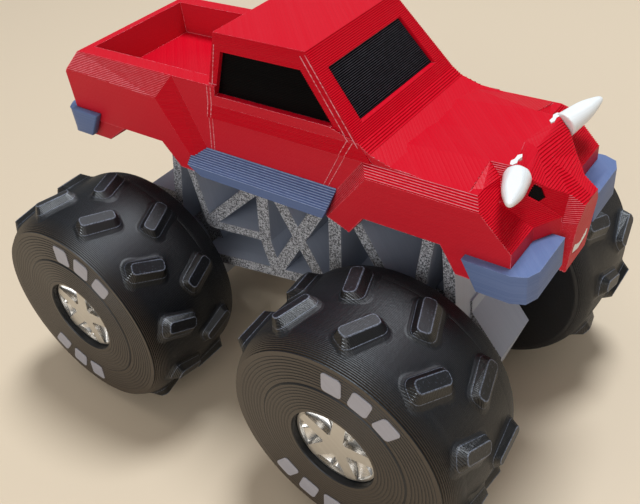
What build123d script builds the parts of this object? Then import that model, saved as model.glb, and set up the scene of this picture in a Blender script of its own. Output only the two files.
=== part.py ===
"""Toy monster pickup, printed in plastic: red body with tusks, truss chassis, four lugged tyres.

Frame: +X to the nose, +Y to the truck's left, +Z up. Millimetres. The origin is on the floor,
under the middle of the truck's length. Until the last step, X is measured from the middle of
the wheelbase.
"""
from build123d import *
from math import cos, hypot, radians, sin
import os

# Running gear
wheelbase = 46.8
axle_height = 17.8          # also the reach of the lug tips, which stand on the floor
track_outer = 56.3          # over the outer sidewalls
tyre_width = 17.7
tread_radius = 16.7         # middle of the crowned tread
tread_crown = 0.35          # fall of the tread from its middle to a shoulder
sidewall_radius = 14.6      # edge between sidewall and shoulder
bead_radius = 6.0           # bore of the tyre, which holds the rim
sidewall_step_radius = 10.4
sidewall_step = 0.35
shoulder_run = 3.4          # width of a rounded shoulder, along the axle
tyre_facets = 36            # flats round the tyre, as printed

# Lugs, in two rows per tyre
lugs_per_row = 11
lug_length = 7.0
lug_top_length = 6.2
lug_width = 4.6             # at its foot, below the tread
lug_top_width = 1.4
lug_top_offset = 0.6        # the top lies towards one long side
lug_sink = 1.4              # foot of a lug below the tread
outer_row_inset = 4.5       # from the outer sidewall to the middle of the outer row
inner_row_inset = 11.5
outer_row_angle = -28.0     # turn of a lug from the axle's direction
inner_row_angle = 20.0
lug_phase_front = 16.7      # turn of each tyre as it stands
lug_phase_rear = 6.9

# Rims and axles
rim_recess = 0.95           # depth of the rim's outer ring behind the outer sidewall
rim_fit = 0.05              # radial clearance of the rim in the tyre
rim_flange = 0.5            # radial width of the rim's outer ring
rim_dish = 2.0              # depth of the pockets between the arms
star_arms = 5
star_rise = 0.2             # the star stands out from the ring
star_turn = 4.0             # of each rim as it stands
arm_root_half = 0.9         # half width of an arm at the hub and at the ring
arm_tip_half = 1.3
hub_radius = 1.8
axle_radius = 1.5
axle_fit = 0.08             # running clearance, radial
axle_reach = 11.0           # length of axle in each rim
wheel_gap = 0.25            # between a wheel and the boss beside it

# Chassis
chassis_half_width = 8.0
truss_rear_x = -17.2
truss_front_x = 29.0
truss_belt = 1.2            # thickness of the truss's top
boss_radius = 5.2
block_half = 4.2            # half width of the housing round each axle
block_reach = 10.6          # from an axle to the foremost corner of its housing
block_drop = 9.3            # from an axle to the underside of its housing
block_rise = 8.2
block_toe = 3.2             # the housing's underside starts this far behind its foremost corner
block_front = 6.2
block_back = 4.0
truss_bars = [
    # x and z at the top, x and z at the foot, width
    (-15.6, 42.4, -19.8, 24.0, 1.6),
    (-15.2, 40.5, -12.9, 25.8, 1.3),
    (1.4, 38.7, -13.2, 26.1, 1.9),
    (-13.2, 26.0, -1.6, 27.4, 1.4),
    (-0.5, 38.7, -1.7, 26.7, 2.1),
    (-1.7, 27.2, -0.4, 21.4, 2.1),
    (0.4, 38.7, 8.8, 21.6, 2.0),
    (11.0, 38.7, -0.8, 21.2, 2.0),
    (11.9, 38.7, 10.4, 22.6, 2.0),
    (13.4, 38.7, 22.2, 22.4, 1.7),
    (26.2, 40.2, 22.8, 22.4, 1.6),
    (28.1, 40.2, 28.6, 22.6, 1.6),
    (-16.0, 18.8, 17.0, 24.1, 1.7),
]

# Body, side view
door_half = 10.8
fender_half = 12.2
tail_x = -31.3
tail_top_x = -29.0
rail_z = 52.4
fender_top_z = 50.0          # at the tail
fender_front_top_z = 49.2
sill_z = 39.2
sill_rear_x = -11.0
sill_front_x = 13.0
rear_arch_x = -13.8
rear_arch_z = 42.5
front_arch_z = 40.7
front_arch_rear_x = 19.2
front_arch_front_x = 29.5
arch_corner_x = 17.0
front_block_z = 37.2
front_block_x = 31.4
belt_z = 49.8
hood_z = 47.7
hood_front_x = 33.2
grille_x = 37.9
grille_top_z = 42.4
valance_z = 39.5
valance_front_x = -21.5
valance_half = 11.9

# Bed and cabin
wall = 1.5
tailgate = 3.6
rail_width = 2.1
bed_floor_z = 47.6
bed_front_x = -4.8
screen_base_x = 18.5
roof_z = 58.9
roof_half = 9.3
roof_rear_x = -2.8
roof_front_x = 11.1
cab_rear_belt_x = -4.6
cab_floor_z = 41.4

# Windows, as black inserts: heights of the openings and half widths at their foot and head
glass_thickness = 0.9
glass_recess = 0.5
fit = 0.05                  # clearance of an insert in its opening
cabin_rise = roof_z - belt_z
window_foot_z = belt_z + 0.143 * cabin_rise
window_head_z = belt_z + 0.758 * cabin_rise
window_rear_x = -3.1
window_front_x = 15.0
screen_foot_half = 8.3
screen_head_half = 7.7
rear_window_foot_z = belt_z + 0.374 * cabin_rise
rear_window_half = 7.2

# Snout, as cross sections from inside the hood to the muzzle's face
snout_sections = [
    # x at the middle, x at the sides, half width and height of the foot, height of the upright side,
    # half width and height of the upper edge, height of the middle
    (32.2, 32.2, 7.6, 37.8, 47.0, 6.0, 48.9, 48.5),
    (33.5, 35.0, 7.1, 37.8, 46.6, 5.9, 48.8, 48.5),
    (34.9, 36.4, 6.3, 37.8, 45.6, 5.5, 47.6, 48.0),
    (36.6, 38.1, 4.7, 37.0, 43.8, 3.8, 45.9, 47.0),
    (39.4, 39.8, 3.5, 35.0, 41.5, 2.1, 44.6, 45.3),
    (41.6, 41.6, 2.9, 34.4, 41.5, 1.8, 43.4, 43.6),
]
muzzle_x = snout_sections[-1][0]
muzzle_lean = 0.11          # the muzzle's face falls back towards its foot, in mm per mm
cheek_reach = 1.9           # facet between the hood's front slope and the snout's side
cheek_top_z = 46.0

# Bumpers and steps
bumper_top_z = 40.6
bumper_height = 3.8
bumper_depth = 1.1          # thickness of a bumper beside the fender
bumper_corner = 2.2
bumper_x = 40.7
bumper_rear_x = 32.6
bumper_inner_half = 4.5
rear_bumper_top_z = 44.0
rear_bumper_x = -33.2
rear_bumper_front_x = -25.7
seat = 0.02                 # gap at the faces where trim lies on the body
step_depth = 2.4            # how far a step stands out from the door
step_top_z = 42.7
step_lean_rear = 3.0
step_lean_front = 1.6
step_rear_x = -9.5
step_front_x = 15.1

# Teeth, eyes and tusks
fang_half = 2.1             # from the middle to the outer side of a fang
fang_width = 0.8
fang_z = 38.0
jaw_z = 36.0
jaw_height = 1.0
teeth_back_x = 39.9
eye_x = 37.4
eye_length = 2.2
eye_height = 1.5
eye_depth = 0.8
tusk_root_x = 35.4
tusk_root_y = 6.1
tusk_root_z = 47.7
tusk_length = 6.7
tusk_radius = 1.7
tusk_aim = (0.3, -0.94, 0.15)

half_base = wheelbase / 2
outer_y = track_outer / 2
inner_y = outer_y - tyre_width
parts = {}


def plate_xz(points, y0, y1):
    """A flat plate with its outline in XZ, from y0 to y1."""
    return extrude(Plane.XZ.offset(-y0) * make_face(Polyline(*points, close=True)), amount=y0 - y1)


def plate_xy(points, z0, z1):
    return extrude(Plane.XY.offset(z0) * make_face(Polyline(*points, close=True)), amount=z1 - z0)


def plate_yz(points, x0, x1):
    return extrude(Plane.YZ.offset(x0) * make_face(Polyline(*points, close=True)), amount=x1 - x0)


def rod_y(radius, y0, y1, x=0, z=0):
    """A round rod along Y."""
    return Pos(x, (y0 + y1) / 2, z) * Rot(90, 0, 0) * Cylinder(radius, y1 - y0)


def bar_xz(x0, z0, x1, z1, width, half):
    """A flat bar between two points of the side view, width deep and 2 * half wide."""
    length = hypot(x1 - x0, z1 - z0)
    dx, dz = (x1 - x0) / length * width / 2, (z1 - z0) / length * width / 2
    corners = [(x0 - dz, z0 + dx), (x1 - dz, z1 + dx), (x1 + dz, z1 - dx), (x0 + dz, z0 - dx)]
    return plate_xz(corners, -half, half)


def mirrored(solid):
    return mirror(solid, about=Plane.XZ)


def skin(rings, closed=False):
    """A solid with flat faces through rings of as many points; closed joins the last to the first."""
    pairs = list(zip(rings, rings[1:]))
    if closed:
        pairs.append((rings[-1], rings[0]))
        outlines = []
    else:
        outlines = [rings[0], rings[-1]]
    for low, high in pairs:
        for i in range(len(low)):
            a, b, c, d = (Vector(*p) for p in (low[i - 1], low[i], high[i], high[i - 1]))
            normal = (b - a).cross(d - a)
            flat = abs(normal.dot(c - a)) < 1e-6 * normal.length
            outlines += [[a, b, c, d]] if flat else [[a, b, c], [a, c, d]]
    return Solid(Shell([Face(Wire.make_polygon(points, close=True)) for points in outlines]))


# Body shell: a core between the planes of the doors, with fenders, cabin and snout added

underside = [
    (tail_x, rear_arch_z), (rear_arch_x, rear_arch_z), (sill_rear_x, sill_z), (sill_front_x, sill_z),
    (arch_corner_x, front_block_z + 0.7), (front_arch_rear_x, front_arch_z),
    (front_arch_front_x, front_arch_z), (front_block_x, front_block_z), (grille_x, front_block_z),
]
upper_side = [
    (grille_x, grille_top_z), (hood_front_x, hood_z), (screen_base_x + 8, hood_z),
    (screen_base_x + 4, hood_z + 0.3), (screen_base_x + 1.4, hood_z + 1.1), (screen_base_x, belt_z),
    (screen_base_x - 8, rail_z), (tail_top_x, rail_z), (tail_x, rail_z - 2.3),
]


def fenders():
    """Each fender widens from the door's plane; its top leans in as a bevel."""
    rear_arch = [(sill_rear_x, sill_z), (rear_arch_x, rear_arch_z)]
    rear_in = [(tail_x, rear_arch_z), (tail_x, rail_z - 2.3), (tail_top_x, rail_z), (-10.3, rail_z),
               (-5.2, sill_z)] + rear_arch
    rear_out = [(tail_x, rear_arch_z), (tail_x, fender_top_z - 0.5), (tail_x + 0.5, fender_top_z),
                (-13.0, fender_front_top_z), (-7.2, sill_z)] + rear_arch
    front_arch = [(grille_x, grille_top_z), (grille_x, front_block_z), (front_block_x, front_block_z),
                  (front_arch_front_x, front_arch_z), (front_arch_rear_x, front_arch_z),
                  (arch_corner_x, front_block_z + 0.7)]
    front_in = [(18.9, hood_z), (hood_front_x, hood_z)] + front_arch + [(12.0, sill_z)]
    front_out = [(20.0, hood_z - 1.2), (hood_front_x + 0.9, hood_z - 1.2)] + front_arch + [(13.9, sill_z)]
    rear, front = (skin([[(x, -door_half, z) for x, z in inner], [(x, -fender_half, z) for x, z in outer]])
                   for inner, outer in ((rear_in, rear_out), (front_in, front_out)))
    return [rear, mirrored(rear), front, mirrored(front)]


def cabin(inset, foot, head):
    """The cabin between two heights, tapered to the roof, with its four walls moved in by inset."""
    lean_rear = (roof_rear_x - cab_rear_belt_x) / cabin_rise
    lean_front = (roof_front_x - screen_base_x) / cabin_rise
    lean_side = (roof_half - door_half) / cabin_rise
    rings = []
    for z in (foot, head):
        x0 = cab_rear_belt_x + lean_rear * (z - belt_z) + inset
        x1 = screen_base_x + lean_front * (z - belt_z) - inset
        half = door_half + lean_side * (z - belt_z) - inset
        rings.append([(x0, -half, z), (x1, -half, z), (x1, half, z), (x0, half, z)])
    return skin(rings)


def snout():
    """Brow, ridge and muzzle: the brow is hollowed at its middle, and the sides lean in near their top."""
    rings = []
    for x_mid, x_side, foot_half, foot_z, side_z, edge_half, edge_z, mid_z in snout_sections:
        rings.append([(x_side, -foot_half, foot_z), (x_side, foot_half, foot_z), (x_side, foot_half, side_z),
                      (x_side, edge_half, edge_z), (x_mid, 0, mid_z), (x_side, -edge_half, edge_z),
                      (x_side, -foot_half, side_z)])
    rings[-1] = [(x + muzzle_lean * (z - mid_z), y, z) for x, y, z in rings[-1]]
    return skin(rings)


def snout_at(x):
    """The snout's cross section where its sides are at x."""
    behind, ahead = next(pair for pair in zip(snout_sections, snout_sections[1:]) if x <= pair[1][1])
    along = (x - behind[1]) / (ahead[1] - behind[1])
    return [a + along * (b - a) for a, b in zip(behind, ahead)]


def cheek():
    """A facet in the corner between the hood's front slope and the snout's right side."""
    lean = (grille_x - hood_front_x) / (hood_z - grille_top_z)
    rings = []
    for z in (cheek_top_z, grille_top_z, bumper_top_z - bumper_height / 2):
        x = min(grille_x, hood_front_x + (hood_z - z) * lean) - 0.05
        near, far = snout_at(x)[2], snout_at(x + cheek_reach)[2]
        rings.append([(x - 0.5, 0.5 - near, z), (x, -near - cheek_reach, z), (x + cheek_reach, 0.05 - far, z)])
    return skin(rings)


def hood():
    """The hood's top, which rises from the screen to the brow and from its edges to its middle."""
    rings = []
    brow = snout_sections[0]
    for x, share in ((screen_base_x, 0.25), (brow[0], 1.0)):
        edge, middle = (brow[6] - hood_z) * share, (brow[7] - hood_z) * share
        rings.append([(x, -door_half, hood_z - 1), (x, door_half, hood_z - 1), (x, door_half, hood_z),
                      (x, brow[5], hood_z + edge), (x, 0, hood_z + middle), (x, -brow[5], hood_z + edge),
                      (x, -door_half, hood_z)])
    return skin(rings)


def window_prisms(grow):
    """Prisms that cut the window openings, each outline larger all round by grow."""
    foot, head = window_foot_z - grow, window_head_z + grow
    side = [(window_rear_x - grow, foot), (window_front_x + 1.3 * grow, foot),
            (roof_front_x - 0.7 + 1.3 * grow, head), (roof_rear_x + 1.0 - grow, head)]
    screen = [(-screen_foot_half - grow, foot), (screen_foot_half + grow, foot),
              (screen_head_half + grow, head), (-screen_head_half - grow, head)]
    rear_foot = rear_window_foot_z - grow
    back = [(-rear_window_half - grow, rear_foot), (rear_window_half + grow, rear_foot),
            (rear_window_half + grow, head), (-rear_window_half - grow, head)]
    inner = roof_half - wall - 0.3
    return {
        "side_window_right": plate_xz(side, -door_half - 1, -inner),
        "side_window_left": plate_xz(side, inner, door_half + 1),
        "windscreen": plate_yz(screen, (roof_rear_x + roof_front_x) / 2, screen_base_x + 1),
        "rear_window": plate_yz(back, cab_rear_belt_x - 1, (roof_rear_x + roof_front_x) / 2),
    }


def build_body():
    shell = plate_xz(underside + upper_side, -door_half, door_half)
    for piece in fenders() + [snout(), hood(), cheek(), mirrored(cheek())]:
        shell += piece
    shell += cabin(0, belt_z - 2, roof_z)
    shell += plate_xz([(tail_x, rear_arch_z), (tail_x, valance_z + 1), (tail_x + 1.5, valance_z),
                       (valance_front_x - 4.5, valance_z), (valance_front_x, rear_arch_z)],
                      -valance_half, valance_half)
    bed_half = door_half - rail_width
    shell -= plate_xz([(tail_x + tailgate, bed_floor_z), (bed_front_x, bed_floor_z),
                       (bed_front_x, rail_z + 1), (tail_x + tailgate, rail_z + 1)], -bed_half, bed_half)
    shell -= cabin(wall, belt_z, roof_z - wall)
    cab_half = door_half - wall
    shell -= plate_xz([(cab_rear_belt_x + wall, cab_floor_z), (arch_corner_x, cab_floor_z),
                       (screen_base_x - wall, belt_z), (cab_rear_belt_x + wall, belt_z)],
                      -cab_half, cab_half)
    for prism in window_prisms(0).values():
        shell -= prism
    pane_zone = cabin(glass_recess, belt_z, roof_z) - cabin(glass_recess + glass_thickness, belt_z, roof_z)
    for name, prism in window_prisms(-fit).items():
        parts[name] = prism & pane_zone
    parts["body_shell"] = shell


def snout_side(x, up):
    """A point on the leaning part of the snout's right side, up counting from its foot to its top."""
    section = snout_at(x)
    foot, top = Vector(x, -section[2], section[4]), Vector(x, -section[5], section[6])
    return foot + (top - foot) * up


def build_face():
    """Teeth in the muzzle, an eye on each side of the snout and a tusk from each end of the brow."""
    body = parts["body_shell"]
    jaw_top, middle = jaw_z + jaw_height, jaw_z - 0.1
    grin = [(-fang_half, jaw_z + 0.6), (0, middle), (fang_half, jaw_z + 0.6), (fang_half, fang_z - 0.3),
            (fang_half - fang_width / 2, fang_z), (fang_half - fang_width, jaw_top + 0.6), (0, jaw_top),
            (fang_width - fang_half, jaw_top + 0.6), (fang_width / 2 - fang_half, fang_z),
            (-fang_half, fang_z - 0.3)]
    mouth = make_face(Polyline(*grin, close=True))
    smaller = offset(mouth, amount=-fit, kind=Kind.INTERSECTION)
    teeth = extrude(Plane.YZ.offset(teeth_back_x + fit) * smaller, amount=muzzle_x - teeth_back_x)
    parts["teeth"] = teeth & snout()
    body -= extrude(Plane.YZ.offset(teeth_back_x) * mouth, amount=muzzle_x - teeth_back_x + 1)

    middle = snout_side(eye_x, 0.5)
    along = (snout_side(eye_x + 1, 0.5) - middle).normalized()
    outward = along.cross(snout_side(eye_x, 1) - middle).normalized()
    place = Plane(origin=middle, x_dir=along, z_dir=outward)
    outline = [(-eye_length / 2, -eye_height / 2), (eye_length / 4, -eye_height / 2), (eye_length / 2, 0),
               (0, eye_height / 2), (-eye_length / 2, eye_height / 2)]
    eye = place * offset(make_face(Polyline(*outline, close=True)), amount=-fit, kind=Kind.INTERSECTION)
    parts["eye_right"] = extrude(eye, amount=-eye_depth)
    parts["eye_left"] = mirrored(parts["eye_right"])
    pocket = make_face(Polyline(*outline, close=True))
    pocket = extrude(place.offset(-eye_depth - fit) * pocket, amount=eye_depth + 1)
    body = body - pocket - mirrored(pocket)

    place = Plane(origin=(tusk_root_x, -tusk_root_y, tusk_root_z), z_dir=tusk_aim)

    def ring(reach, radius):
        corners = [(radius * cos(radians(45 * i)), radius * sin(radians(45 * i)), reach) for i in range(8)]
        return [tuple(place.from_local_coords(corner)) for corner in corners]
    tusk = skin([ring(0, tusk_radius), ring(0.55 * tusk_length, 0.8 * tusk_radius),
                 ring(tusk_length, 0.22 * tusk_radius)])
    socket = skin([ring(-fit, tusk_radius + fit), ring(tusk_length, tusk_radius + fit)])
    parts["body_shell"] = body - socket - mirrored(socket)
    parts["tusk_right"] = tusk
    parts["tusk_left"] = mirrored(tusk)


# Chassis

def build_chassis():
    """A truss cut right across the width, over a housing round each axle."""
    half = chassis_half_width
    top = [(truss_rear_x, rear_arch_z), (rear_arch_x, rear_arch_z), (sill_rear_x, sill_z),
           (sill_front_x, sill_z), (arch_corner_x, front_block_z + 0.7),
           (front_arch_rear_x, front_arch_z), (truss_front_x, front_arch_z)]
    truss = plate_xz(top + [(x, z - truss_belt) for x, z in reversed(top)], -half, half)
    for x0, z0, x1, z1, width in truss_bars:
        truss += bar_xz(x0, z0, x1, z1, width, half)
    truss -= plate_xz(underside + upper_side, -half - 1, half + 1)
    low = axle_height - block_drop
    for centre, way in ((half_base, 1), (-half_base, -1)):
        block = [(centre + way * block_front, axle_height + block_rise),
                 (centre + way * block_front, axle_height + block_rise - 2),
                 (centre + way * block_reach, axle_height), (centre + way * (block_reach - block_toe), low),
                 (centre - way * block_back, low), (centre - way * (block_back + 5), axle_height),
                 (centre - way * (block_back + 2.5), axle_height + block_rise)]
        truss += plate_xz(block, -block_half, block_half)
        truss += rod_y(boss_radius, wheel_gap - inner_y, inner_y - wheel_gap, centre, axle_height)
        truss -= rod_y(axle_radius, -inner_y, inner_y, centre, axle_height)
    parts["chassis"] = truss


# Wheels

def lug(turn, lean):
    """One lug standing out along X from the tyre's axis, turned about that line; lean is 1 or -1."""
    rings = []
    for radius, length, width, shift in (
            (tread_radius - lug_sink, lug_length, lug_width, 0),
            (axle_height, lug_top_length, lug_top_width, lean * lug_top_offset)):
        rings.append([(radius, y * length / 2, shift + z * width / 2)
                      for y, z in ((-1, -1), (1, -1), (1, 1), (-1, 1))])
    return Rot(turn, 0, 0) * skin(rings)


def tyre(phase):
    """The right-hand tyre, its axis on Y: a crowned ring with two rows of lugs."""
    shoulder = tread_radius - tread_crown
    low = -outer_y + sidewall_step
    section = [(bead_radius, -outer_y), (sidewall_step_radius, -outer_y), (sidewall_step_radius + 0.2, low),
               (sidewall_radius, low), (shoulder, -outer_y + shoulder_run),
               (tread_radius, -(outer_y + inner_y) / 2), (shoulder, -inner_y - shoulder_run),
               (sidewall_radius, -inner_y), (bead_radius, -inner_y)]
    turns = [radians(360 / tyre_facets * i) for i in range(tyre_facets)]
    ring = skin([[(r * cos(t), y, r * sin(t)) for r, y in section] for t in turns], closed=True)
    pitch = 360 / lugs_per_row
    rows = [
        # distance from the outer sidewall, turn of the lugs, side their tops lie to, shift in pitches
        (outer_row_inset, outer_row_angle, 1, 0.0),
        (inner_row_inset, inner_row_angle, -1, 0.5),
    ]
    lugs = [Rot(0, -phase - pitch * (i + shift), 0) * Pos(0, inset - outer_y, 0) * lug(turn, lean)
            for inset, turn, lean, shift in rows for i in range(lugs_per_row)]
    ring -= rod_y(bead_radius, -outer_y - 1, 0)
    return ring.fuse(*lugs)


def rim():
    """The right-hand rim: a ring with a dished face and a raised star, bored for the axle."""
    radius = bead_radius - rim_fit
    face_y = rim_recess - outer_y
    floor_y = face_y + rim_dish
    body = rod_y(radius, face_y, -inner_y)
    body -= rod_y(radius - rim_flange, face_y - 1, floor_y)
    body += rod_y(hub_radius, face_y - star_rise, floor_y + 0.2)
    tip = radius - rim_flange / 2
    arm = plate_xz([(0, -arm_root_half), (tip, -arm_tip_half), (tip, arm_tip_half), (0, arm_root_half)],
                   face_y - star_rise, floor_y + 0.2)
    for i in range(star_arms):
        body += Rot(0, -360 / star_arms * i, 0) * arm
    return body - rod_y(axle_radius + axle_fit, -inner_y - axle_reach - 0.3, 0)


def build_wheels():
    wheel_rim = rim()
    for end, x, phase in (("front", half_base, lug_phase_front), ("rear", -half_base, lug_phase_rear)):
        place = Pos(x, 0, axle_height)
        tyre_right = place * tyre(phase)
        rim_right = place * Rot(0, -star_turn, 0) * wheel_rim
        parts[f"tyre_{end}_right"] = tyre_right
        parts[f"tyre_{end}_left"] = mirrored(tyre_right)
        parts[f"rim_{end}_right"] = rim_right
        parts[f"rim_{end}_left"] = mirrored(rim_right)
        parts[f"axle_{end}"] = rod_y(axle_radius, -inner_y - axle_reach, inner_y + axle_reach, x, axle_height)


# Bumpers and steps

def build_trim():
    body = parts["body_shell"]
    side = fender_half + bumper_depth
    low, top = bumper_top_z - bumper_height, bumper_top_z
    plan = [(bumper_rear_x, -side), (bumper_x - bumper_corner, -side),
            (bumper_x - bumper_corner * 0.3, -side + bumper_corner * 0.3), (bumper_x, -side + bumper_corner),
            (bumper_x, -bumper_inner_half), (grille_x + seat, -bumper_inner_half),
            (grille_x + seat, -fender_half - seat), (bumper_rear_x, -fender_half - seat)]
    front = plate_xy(plan, low, top)
    front -= plate_xz([(bumper_rear_x - 1, top), (bumper_rear_x, top), (bumper_rear_x + 1.8, low),
                       (bumper_rear_x + 1.8, low - 1), (bumper_rear_x - 1, low - 1)], -side - 1, 0)
    parts["front_bumper_right"] = front - body
    parts["front_bumper_left"] = mirrored(parts["front_bumper_right"])

    low, top = rear_bumper_top_z - bumper_height, rear_bumper_top_z
    outer = [(rear_bumper_front_x, -side), (rear_bumper_front_x, side), (tail_x - 0.6, side),
             (rear_bumper_x, side - 1.8), (rear_bumper_x, 1.8 - side), (tail_x - 0.6, -side)]
    inner_side = fender_half + seat
    bar = plate_xy(outer, low, top)
    bar -= plate_xy([(tail_x - seat, -inner_side), (sill_rear_x, -inner_side), (sill_rear_x, inner_side),
                     (tail_x - seat, inner_side)], low - 1, top + 1)
    bar -= plate_xz([(rear_bumper_front_x + 1, top), (rear_bumper_front_x, top),
                     (rear_bumper_front_x - 2.4, low), (rear_bumper_front_x - 2.4, low - 1),
                     (rear_bumper_front_x + 1, low - 1)], -side - 1, side + 1)
    parts["rear_bumper"] = bar

    edge = door_half + step_depth
    section = [(-door_half - seat, step_top_z), (-edge, step_top_z - 0.4), (0.3 - edge, sill_z),
               (-door_half - seat, sill_z)]
    step = plate_yz(section, step_rear_x, step_front_x)
    step &= plate_xz([(step_rear_x, step_top_z + 1), (step_front_x, step_top_z + 1),
                      (step_front_x - step_lean_front, sill_z - 0.1),
                      (step_rear_x + step_lean_rear, sill_z - 0.1)], -edge - 1, 0)
    parts["side_step_right"] = step - body
    parts["side_step_left"] = mirrored(parts["side_step_right"])


build_body()
build_face()
build_chassis()
build_wheels()
build_trim()

boxes = [shape.bounding_box() for shape in parts.values()]
rear_end = min(box.min.X for box in boxes)
front_end = max(box.max.X for box in boxes)
to_datum = Pos(-(rear_end + front_end) / 2, 0, -min(box.min.Z for box in boxes))
os.makedirs("parts", exist_ok=True)
for name, shape in parts.items():
    export_step(to_datum * shape, f"parts/{name}.step")
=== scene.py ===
from math import atan2, ceil, cos, floor, hypot, pi, radians, sin

import bmesh
import bpy
from mathutils import Matrix, Vector
from mathutils.bvhtree import BVHTree


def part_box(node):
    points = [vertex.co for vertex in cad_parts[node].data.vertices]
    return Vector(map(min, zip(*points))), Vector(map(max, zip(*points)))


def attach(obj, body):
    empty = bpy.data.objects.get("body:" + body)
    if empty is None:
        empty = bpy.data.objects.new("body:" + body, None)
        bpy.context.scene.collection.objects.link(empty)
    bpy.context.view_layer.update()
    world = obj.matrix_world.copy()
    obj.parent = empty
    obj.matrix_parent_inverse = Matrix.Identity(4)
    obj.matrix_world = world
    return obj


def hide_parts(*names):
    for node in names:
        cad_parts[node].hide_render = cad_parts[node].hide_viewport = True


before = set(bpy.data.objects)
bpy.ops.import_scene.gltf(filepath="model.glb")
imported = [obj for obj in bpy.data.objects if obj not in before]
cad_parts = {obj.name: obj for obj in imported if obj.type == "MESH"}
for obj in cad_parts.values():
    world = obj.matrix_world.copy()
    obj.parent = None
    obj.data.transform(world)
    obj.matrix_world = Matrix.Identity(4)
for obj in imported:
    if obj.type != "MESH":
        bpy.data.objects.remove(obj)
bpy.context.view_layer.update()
roof_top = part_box("body_shell")[1].z
outer_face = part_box("tyre_front_right")[0].y

MM = 0.001
ENDS = ("front", "rear")
SIDES = (("right", -1), ("left", 1))

# Printing
LAYER = 0.2                 # mm, height of one printed layer
BEAD = 0.42                 # mm, width of one printed line on a flat top
SLOPING, FLAT = 0.87, 0.93  # how much of the layers' direction is in a normal: steps fade out between the two
SLANT = 0.707               # how much of two axes is in a direction halfway between them
NIP = 0.01                  # share of a layer, from its middle to the cuts on both sides
SAME_POINT = 2e-6           # m, points closer than this are one
SAME_LAYER_POINT = 1e-6     # m, the same for the points of layers
SHORTEST = 1e-7             # m, edges of layers shorter than this go
ON_CUT = 1e-8               # m, how near to a cut a point counts as lying on it
SAME_FACE = radians(0.4)    # faces that meet at less than this are one
SHARP = radians(24)         # faces that meet at more than this have an eased edge
UPRIGHT = 0.9               # how much of Z is in the direction of an upright edge

# Tyres, in mm from the wheel's own middle; depth is measured from the outer sidewall inwards
BORE_RADIUS = 6.0
SIDEWALL_RADIUS = 14.6
SHOULDER_RADIUS = 16.35
TREAD_RADIUS = 16.7
STEP_RADIUS = 10.4
STEP_DEPTH = 0.14
SHOULDER = 3.4              # how far the shoulder reaches in from a sidewall
SHOULDER_POWER = 0.7        # how full the shoulder's curve is
BORE_EDGE = ((BORE_RADIUS, 0.15), (BORE_RADIUS + 0.12, 0.0))                # radius and depth
STEP_EDGE = ((STEP_RADIUS, 0.0), (STEP_RADIUS + 0.12, STEP_DEPTH))
INNER_BAND = (BORE_RADIUS + 0.25, STEP_RADIUS, 0.0)                         # both radii and the depth
OUTER_BAND = (STEP_RADIUS + 0.3, SIDEWALL_RADIUS - 0.15, STEP_DEPTH)
# Inner sidewall: radius, and how far it lies from the inner face
BACK_EDGE = ((SIDEWALL_RADIUS, 0.02), (SIDEWALL_RADIUS - 0.2, 0.0),
             (BORE_RADIUS + 0.1, 0.0), (BORE_RADIUS, 0.1))
GROOVE = 0.05
GROOVE_EASE = 0.03
RING_CREST = (-0.13, 0.1)   # from a ring's middle to both ends of its crest
RING_GROOVE = 0.16          # from a ring's middle to the groove beside it
AROUND = 120                # faces round a tyre
PHASES = {"front": 16.7, "rear": 6.9}       # degrees, where the first outer lug stands

# Lugs: a ring for each share of the height, with its length, width and corner in mm, and the kind of the
# band that starts there
PLAIN, LIP, FLANK, TOP = 0.0, 1.0, 2.0, 3.0
LUG_RINGS = (
    (-0.5, 6.9, 5.0, 1.5, PLAIN),
    (0.0, 6.9, 5.0, 1.5, PLAIN),
    (0.06, 6.5, 4.1, 1.3, PLAIN),
    (0.2, 6.15, 3.4, 1.1, PLAIN),
    (0.3, 6.0, 3.15, 1.0, LIP),
    (0.34, 5.94, 3.03, 0.95, FLANK),
    (0.93, 5.0, 1.78, 0.6, LIP),
    (1.0, 4.9, 1.66, 0.55, LIP),
    (1.0, 4.7, 1.46, 0.45, TOP),
)
LUG_TOP_RADIUS = 17.77
LUG_COUNT = 11
LUG_LEAN = 0.35             # mm, how far a lug's top stands aside of its foot
LUG_SINK = 0.03             # mm, how far a lug's foot lies in the tread
LUG_MARGIN = 0.3            # mm, between a lug and the sidewall's face
OUTER_LUG = (5.1, -26)      # depth and turn in degrees
INNER_LUG = (11.6, 21)

# Plain raised blocks on the sidewalls, in mm and degrees
MARK_RADIUS = 12.35
MARK_SIZE = (3.1, 2.7)
MARK_CORNER = 0.55
MARK_RINGS = ((STEP_DEPTH + 0.2, 0.0), (0.06, 0.0), (0.0, -0.16))     # depth, and how the outline grows
MARK_STARTS = (-84, 96)
MARK_COUNT = 3
MARK_PITCH = 18

# Rims, in mm
RIM_RADIUS = 5.95
RIM_RECESS = 0.95
RIM_LIP = 0.08
STAR_RECESS = 0.75
STAR_ARMS = 5
STAR_TURN = 4.0             # degrees
CENTRE_RADIUS = 0.02
HUB_FLAT = 0.9
HUB_RADIUS = 1.9
POCKET_RADIUS = 5.5
POCKET_DEPTH = 1.35
HUB_EDGE, POCKET_EDGE = 0.02, 0.03          # how far the walls at the hub and at the ring lean
BOWL_ROUND, BOWL_LONG = 0.45, 0.6           # how full the bowl's curve is round the rim and outwards
BOWL_START, BOWL_SPAN = 0.1, 0.82           # part of half a wave that the bowl takes outwards
ARM_HALVES = (1.05, 0.8)    # at the hub and at the ring
ARM_REACH = 0.46            # most of a fifth of the circle that half an arm may take
ARM_CELLS, POCKET_CELLS, BOWL_RINGS = 6, 26, 13
RIB_HEIGHT = 0.55
RIB_HALF = 0.06             # share of a pocket
AXLE_BORE = 1.58
AXLE_BORE_DEPTH = 6.4


# Places

def wheel_middle(end):
    low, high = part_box(f"axle_{end}")
    return (low + high) / 2


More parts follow.
